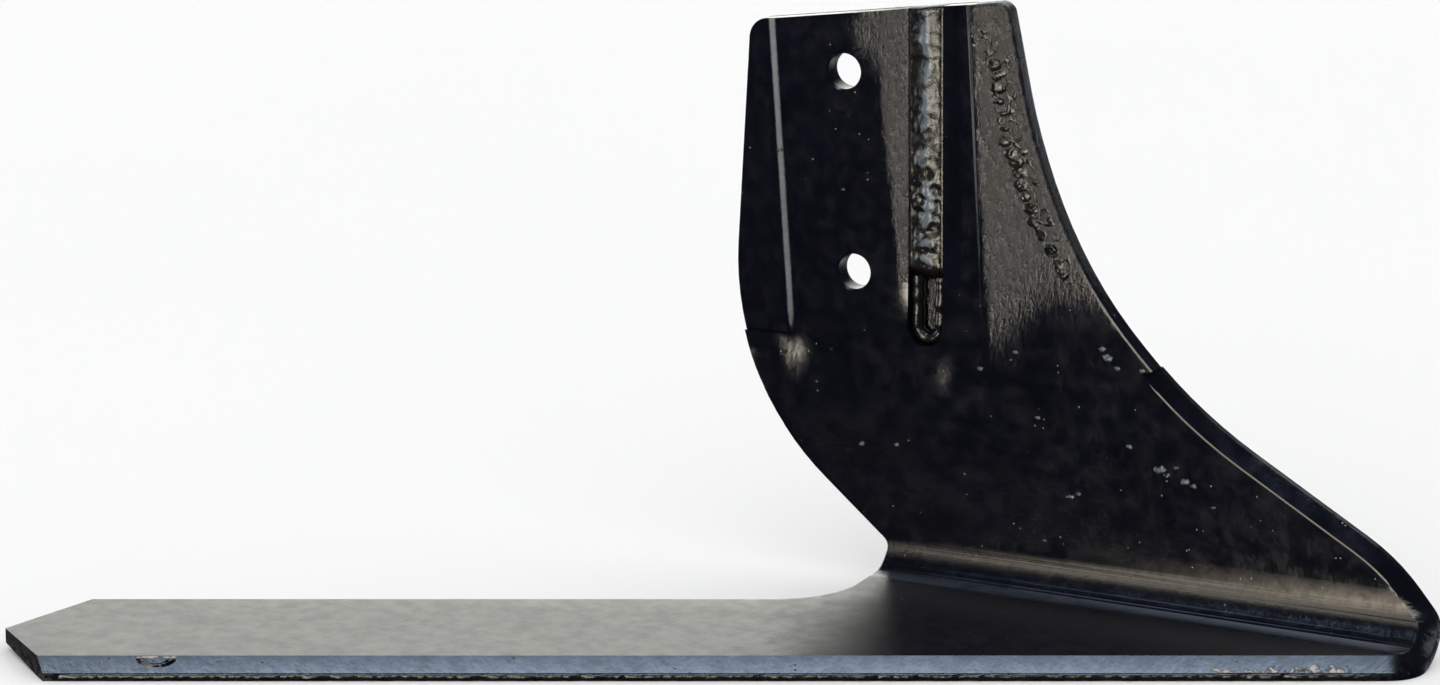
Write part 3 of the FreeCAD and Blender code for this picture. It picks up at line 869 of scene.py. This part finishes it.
@dataclass
class EdgeHardfacing:
    """Ragged bead of hard weld along the foot of the front wall of the blade."""

    finish: bpy.types.Material
    start: float = 17.0
    end: float = 490.0

    def build(self) -> bpy.types.Object:
        """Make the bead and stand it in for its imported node."""
        inward = (along_edge(0.0, 1.0, 0.0) - along_edge(0.0, 0.0, 0.0)) * 0.6
        form = skin(620, 8, self.surface, inward, keep=-0.2)
        piece = finish_piece("edge_run", form, self.finish, Slot.HARD, 60.0)
        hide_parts("edge_hardfacing")
        return piece

    def surface(self, across: float, along: float) -> tuple[Vector, float]:
        """Point of the bead."""
        reach = self.end + (self.start - self.end) * across
        turn = math.pi * (along - 0.5)
        bulge = 0.62 + 0.55 * wander(reach, 0.0, 5.0, 41.0)
        bulge += 0.3 * wander(reach, along * 3.0, 1.8, 43.0)
        ends = soft_step(reach, self.start, self.start + 6.0)
        ends *= soft_step(reach, self.end, self.end - 6.0)
        out = min(bulge * math.cos(turn) * ends, 0.88) - 0.1
        z = 1.45 + (1.15 + 0.25 * wander(reach, 0.0, 7.0, 45.0)) * math.sin(turn)
        return along_edge(reach, -out, z), out


@dataclass
class BevelPatch:
    """Thin, rough metal on the bevel of the blade, between two distances from the toe."""

    name: str
    finish: bpy.types.Material
    slot: Slot
    start: float
    end: float
    low: float                   # distances up the slope of the bevel
    high: float
    tall: Callable[[float, float], float]

    def build(self) -> bpy.types.Object:
        """Make the patch."""
        along = int((self.end - self.start) / 0.45)
        rows = max(int((self.high - self.low) / 0.3), 6)
        drop = (along_edge(0.0, 1.0, 0.0) - along_edge(0.0, 0.0, 1.0)) * 0.4
        form = skin(along, rows, self.surface, drop, keep=-0.05)
        return finish_piece(self.name, form, self.finish, self.slot, 60.0)

    def surface(self, across: float, along: float) -> tuple[Vector, float]:
        """Point of the patch."""
        reach = self.end + (self.start - self.end) * across
        climb = self.low + (self.high - self.low) * along
        rise = self.tall(reach, climb)
        slope = math.sqrt(0.5)
        out = climb * slope - rise * slope
        return along_edge(reach, out, PLATE - BEVEL + (climb + rise) * slope), rise


def overlay_height(reach: float, climb: float) -> float:
    """Height of the hard overlay on the bevel behind the toe."""
    body = soft_step(reach, 24.0, 34.0) * soft_step(reach, 88.0, 70.0)
    body *= soft_step(climb, 5.4 - 3.0 * soft_step(reach, 40.0, 84.0), 1.0)
    rough = 0.34 + 0.55 * wander(reach, climb, 3.1, 51.0) + 0.35 * wander(reach, climb, 1.2, 53.0)
    return rough * body - 0.22


def run_height(reach: float, climb: float) -> float:
    """Height of the half-moon run of paint on the bevel near the tip."""
    across, up = reach - 454.0, (climb - 6.0) * 1.9
    away = math.hypot(across, up)
    rim = math.exp(-((away - 5.6) / 1.3) ** 2)
    return (0.75 + 0.2 * wander(reach, climb, 2.0, 61.0)) * rim * soft_step(up, 1.0, -2.0) - 0.12


def lip_height(reach: float, climb: float) -> float:
    """Height of the bare lip above that run; its pale colour also paints the glint on the nick's upper
    rim.
    """
    along = soft_step(abs(reach - 454.0 + 1.5 * wander(reach, 0.0, 4.0, 63.0)), 8.5, 6.0)
    across = soft_step(abs(climb - 6.35 - 0.25 * wander(reach, 0.0, 3.0, 65.0)), 0.65, 0.25)
    return 0.3 * along * across - 0.1


@dataclass
class Spatter:
    """Small drops of weld stuck to the leg under the paint."""

    finish: bpy.types.Material
    relief: HeadRelief
    drops: tuple[Triple, ...] = (
        (89.2, 98.6, 1.5), (87.0, 101.5, 1.0), (93.0, 95.0, 0.9), (103.0, 95.2, 0.9),
        (110.8, 58.8, 1.6), (113.5, 57.0, 1.0), (120.7, 55.5, 1.3), (124.0, 54.2, 0.9),
        (117.0, 60.2, 0.7),
        (75.0, 43.8, 1.2), (78.5, 45.4, 0.8), (65.2, 25.9, 1.0), (40.6, 20.8, 1.1),
        (98.5, 66.0, 0.9), (132.0, 47.0, 0.8), (61.5, 72.5, 0.8), (-11.0, 53.5, 0.8), (3.5, 55.0, 0.7),
        (37.6, 88.5, 0.9), (-48.0, 163.0, 0.6), (-20.5, 150.5, 0.6), (52.0, 96.5, 0.7))

    def build(self) -> bpy.types.Object:
        """Make all the drops as one piece."""
        form = bmesh.new()
        crest = form.verts.layers.float.new("crest")
        for x, z, size in self.drops:
            depth = self.relief.front(x, z) if z > 84.0 else 0.0
            pad = x < self.relief.crease(z) - 2.0 and z > 92.0
            middle = spot(x, z, depth + (1.6 if pad else 0.0))
            shape = Matrix.Translation(middle) @ Matrix.Diagonal((1.5, 0.42, 1.0, 1.0))
            made = bmesh.ops.create_icosphere(form, subdivisions=3, radius=size * MM, matrix=shape)
            for point in made["verts"]:
                away = (point.co - middle) / (size * MM)
                swell = 1.0 + 0.45 * noise.noise(away * 1.3 + Vector((x, z, 0.0)))
                point.co = middle + (point.co - middle) * swell
                # the side of a drop that stands out of the plate gets the higher crest, where the weld
                # finish turns pale: worn paint and a painted highlight
                point[crest] = 0.55 - 0.5 * away.y
        return finish_piece("spatter", form, self.finish, Slot.WELD, 60.0)


@dataclass
class RearBar:
    """Flat bar behind the slot weld."""

    enamel: bpy.types.Material

    def build(self) -> bpy.types.Object:
        """Ease the bar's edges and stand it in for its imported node."""
        form = clean_copy("rear_bar")
        bmesh.ops.bevel(form, geom=form.edges[:], offset=0.5 * MM, offset_type="OFFSET", segments=2,
                        profile=0.5, affect="EDGES", material=-1, clamp_overlap=True)
        paint_values(form, "grain", lambda place: 0.5)
        piece = finish_piece("bar_behind_slot", form, self.enamel, Slot.ENAMEL)
        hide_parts("rear_bar")
        return piece


# ---------------------------------------------------------------- studio


@dataclass(frozen=True)
class Glow:
    """One soft source round the studio, seen only in the gloss of the part."""

    azimuth: float               # degrees from the front of the leg, to the right
    elevation: float
    inner: float                 # degrees from its middle to where it starts to fade
    outer: float                 # degrees from its middle to where it ends
    colour: Triple

    def middle(self) -> Vector:
        """Direction of its middle."""
        turn, rise = math.radians(self.azimuth), math.radians(self.elevation)
        level = math.cos(rise)
        return Vector((math.sin(turn) * level, -math.cos(turn) * level, math.sin(rise)))


@dataclass
class Studio:
    """Pale floor, soft light and camera."""

    camera_place: Triple = (0.7820, -1.5857, 0.4016)
    camera_target: Triple = (0.0002, -0.1154, -0.0043)
    lens: float = 120.0
    ambient: float = 1.0
    dark: Triple = (0.02, 0.021, 0.024)   # seen in the gloss elsewhere
    glows: tuple[Glow, ...] = (
        Glow(-146.0, 14.0, 24.0, 40.0, (2.15, 2.15, 2.0)),
        Glow(-72.0, 0.0, 5.0, 22.0, (4.3, 4.45, 4.5)),
        Glow(120.0, 14.0, 5.0, 15.0, (1.0, 1.05, 1.2)),
        Glow(176.0, -14.0, 6.0, 21.0, (0.9, 0.93, 1.0)),
        Glow(172.0, 52.0, 10.0, 26.0, (1.6, 1.65, 1.8)),
        Glow(-27.0, 42.0, 3.0, 18.0, (2.6, 2.35, 1.95)),
        Glow(-3.0, 25.0, 4.0, 13.0, (5.5, 5.0, 4.1)),
        Glow(-1.0, -6.0, 6.0, 15.0, (13.0, 11.9, 10.0)),
        Glow(18.0, 15.0, 6.0, 17.0, (8.0, 7.3, 6.1)),
        Glow(36.0, 85.0, 12.0, 20.0, (6.2, 7.9, 10.3)),
    )

    def share(self, kit: Nodes, way: bpy.types.NodeSocket, glow: Glow) -> bpy.types.NodeSocket:
        """How much of a glow is seen in a direction, from 0 to 1."""
        dot = kit.add("VectorMath", operation="DOT_PRODUCT")
        kit.feed(dot.inputs[0], way)
        dot.inputs[1].default_value = glow.middle()
        return kit.remap(dot.outputs["Value"], math.cos(math.radians(glow.outer)),
                         math.cos(math.radians(glow.inner)))

    def light(self) -> None:
        """World: even light on the scene, and soft sources in the gloss."""
        world = bpy.data.worlds.new("studio_world")
        world.use_nodes = True
        bpy.context.scene.world = world
        kit = Nodes(world.node_tree)
        way = kit.add("TexCoord").outputs["Generated"]
        seen = self.dark + (1.0,)
        for glow in self.glows:
            seen = kit.mix(self.share(kit, way, glow), seen, glow.colour + (1.0,))
        path = kit.add("LightPath")
        plain = kit.add("Background")
        plain.inputs["Strength"].default_value = self.ambient
        plain.inputs["Color"].default_value = (1.0, 1.0, 1.0, 1.0)
        gloss = kit.add("Background")
        kit.feed(gloss.inputs["Color"], seen)
        choice = kit.add("MixShader")
        kit.feed(choice.inputs[0], path.outputs["Is Glossy Ray"])
        kit.feed(choice.inputs[1], plain.outputs[0])
        kit.feed(choice.inputs[2], gloss.outputs[0])
        out = kit.add("OutputWorld")
        kit.feed(out.inputs["Surface"], choice.outputs[0])

    def floor(self) -> None:
        """Pale floor under the blade."""
        form = bmesh.new()
        bmesh.ops.create_grid(form, x_segments=1, y_segments=1, size=4.0,
                              matrix=Matrix.Translation((0.0, 0.0, BASE_Z)))
        mesh = bpy.data.meshes.new("floor")
        form.to_mesh(mesh)
        form.free()
        mesh.materials.append(PaleFloor().make())
        floor = bpy.data.objects.new("floor", mesh)
        floor.visible_glossy = False
        bpy.context.scene.collection.objects.link(floor)

    def camera(self) -> None:
        """Long lens from the front right, a little above the part."""
        data = bpy.data.cameras.new("studio_camera")
        data.lens = self.lens
        data.sensor_width = 36.0
        camera = bpy.data.objects.new("studio_camera", data)
        bpy.context.scene.collection.objects.link(camera)
        place, target = Vector(self.camera_place), Vector(self.camera_target)
        camera.location = place
        camera.rotation_euler = (target - place).to_track_quat("-Z", "Y").to_euler()
        bpy.context.scene.camera = camera

    def build(self) -> None:
        """Set up the whole studio."""
        self.camera()
        self.light()
        self.floor()
        bpy.context.scene.view_settings.view_transform = "Standard"


def main() -> None:
    """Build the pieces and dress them."""
    logging.basicConfig(level=logging.INFO, format="%(message)s")
    Studio().build()
    enamel = BlackEnamel().make()
    relief = HeadRelief()
    FormedPlate(enamel, relief).build()
    # its pale bluish crest colour paints the highlights of the weld
    weld = WeldFinish("painted_weld", dark=0.005, light=0.14, bare_and_highlight=0.5, roughness=0.22,
                      relief=0.00016, warmth=-0.14).make()
    hard = WeldFinish("worn_hard_weld", dark=0.005, light=0.07, bare_and_highlight=0.2, roughness=0.2,
                      relief=0.00012).make()
    # bare metal on the toe overlay; on the lip over the nick its pale colour also paints a glint
    bare_and_highlight = WeldFinish("bare_hard_weld_and_glint", dark=0.02, light=0.42, bare_and_highlight=1.05, roughness=0.42,
                      relief=0.0002).make()
    SlotWeld(weld, relief).build()
    ShinHardfacing(hard, relief).build()
    EdgeHardfacing(hard).build()
    overlay = BevelPatch("toe_rough_overlay", bare_and_highlight, Slot.HARD, start=22.0, end=90.0,
                         low=0.1, high=5.6, tall=overlay_height).build()
    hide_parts("toe_overlay")
    BevelPatch("paint_run", enamel, Slot.ENAMEL, start=444.0, end=464.0,
               low=1.2, high=6.9, tall=run_height).build()
    # pale lip on the nick: worn bare metal whose colour also paints the glint on the rim
    BevelPatch("worn_lip_and_glint", bare_and_highlight, Slot.HARD, start=443.0, end=465.0,
               low=5.4, high=7.0, tall=lip_height).build()
    Spatter(weld, relief).build()
    RearBar(enamel).build()


if __name__ == "__main__":
    main()
